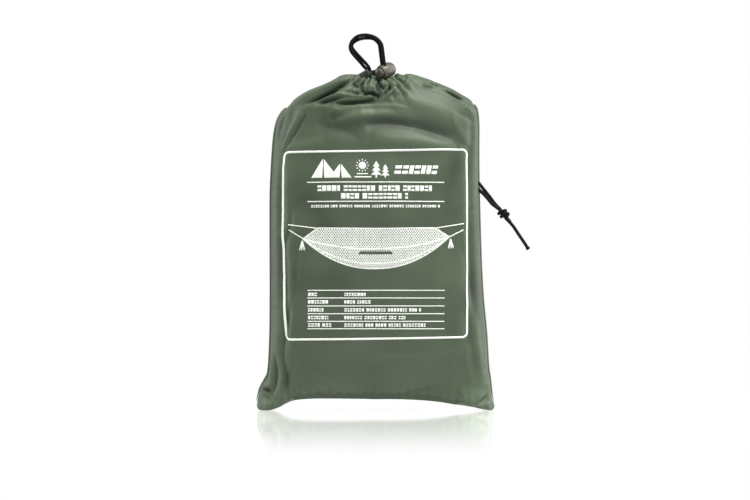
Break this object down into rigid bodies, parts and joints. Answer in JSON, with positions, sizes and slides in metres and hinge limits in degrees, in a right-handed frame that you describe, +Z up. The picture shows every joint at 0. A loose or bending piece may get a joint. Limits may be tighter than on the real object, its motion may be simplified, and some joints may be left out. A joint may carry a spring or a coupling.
{
  "type": "packed hammock mosquito net in a drawstring stuff sack",
  "caption": "Olive nylon drawstring sack packed with a hammock mosquito net and its folded poles; a spring cord lock slides on the drawcord and a short knotted cord hangs from the side seam.",
  "frame": {"origin": "on the ground under the middle of the sack's box, midway between the soles of its two folded bottom corners", "axes": "+X to the sack's right as seen from its printed front, +Z up, front towards -Y"},
  "size_m": [0.2447, 0.0722, 0.3386],
  "materials": {
    "olive_nylon": "fine plain-weave nylon with a satin sheen",
    "olive_seam": "rolled nylon seam with a lockstitch",
    "black_cord": "braided polyester cord",
    "lock_plastic": "moulded acetal, grey-bronze, satin",
    "spring_steel": "drawn spring wire",
    "olive_net": "very fine polyester mesh, folded",
    "pole_fibreglass": "pultruded glass fibre",
    "ferrule_aluminium": "drawn tube"
  },
  "bodies": {
    "sack": {"sack_front_panel": "olive_nylon", "sack_back_panel": "olive_nylon", "sack_side_seam_left": "olive_seam", "sack_side_seam_right": "olive_seam", "sack_bottom_hem": "olive_seam", "sack_corner_left": "olive_nylon", "sack_corner_right": "olive_nylon", "sack_drawcord_channel": "olive_nylon", "drawcord_in_channel": "black_cord", "drawcord_strand_left": "black_cord", "drawcord_strand_right": "black_cord", "drawcord_knot": "black_cord", "drawcord_tail_1": "black_cord", "drawcord_tail_2": "black_cord", "side_cord_leg_upper": "black_cord", "side_cord_leg_lower": "black_cord", "side_cord_knot": "black_cord", "side_cord_tail_long": "black_cord", "side_cord_tail_short": "black_cord", "net_bundle": "olive_net", "pole_a_section_1": "pole_fibreglass", "pole_a_section_2": "pole_fibreglass", "pole_a_section_3": "pole_fibreglass", "pole_b_section_1": "pole_fibreglass", "pole_b_section_2": "pole_fibreglass", "pole_b_section_3": "pole_fibreglass", "pole_a_ferrule_1": "ferrule_aluminium", "pole_a_ferrule_2": "ferrule_aluminium", "pole_b_ferrule_1": "ferrule_aluminium", "pole_b_ferrule_2": "ferrule_aluminium"},
    "cord_lock": {"cord_lock_body": "lock_plastic", "cord_lock_spring": "spring_steel"},
    "lock_button": {"cord_lock_button": "lock_plastic"}
  },
  "joints": [
    {"name": "cord_lock_slide", "type": "slide", "parent": "sack", "child": "cord_lock", "axis": [-0.1201, -0.3077, 0.9439], "range_m": [0, 0.012]},
    {"name": "lock_button_press", "type": "slide", "parent": "cord_lock", "child": "lock_button", "axis": [0.7051, 0.6428, 0.2993], "range_m": [0, 0.0025], "stiffness_N_per_m": 600, "springref_m": -0.002, "deforming": ["cord_lock_spring"]}
  ]
}
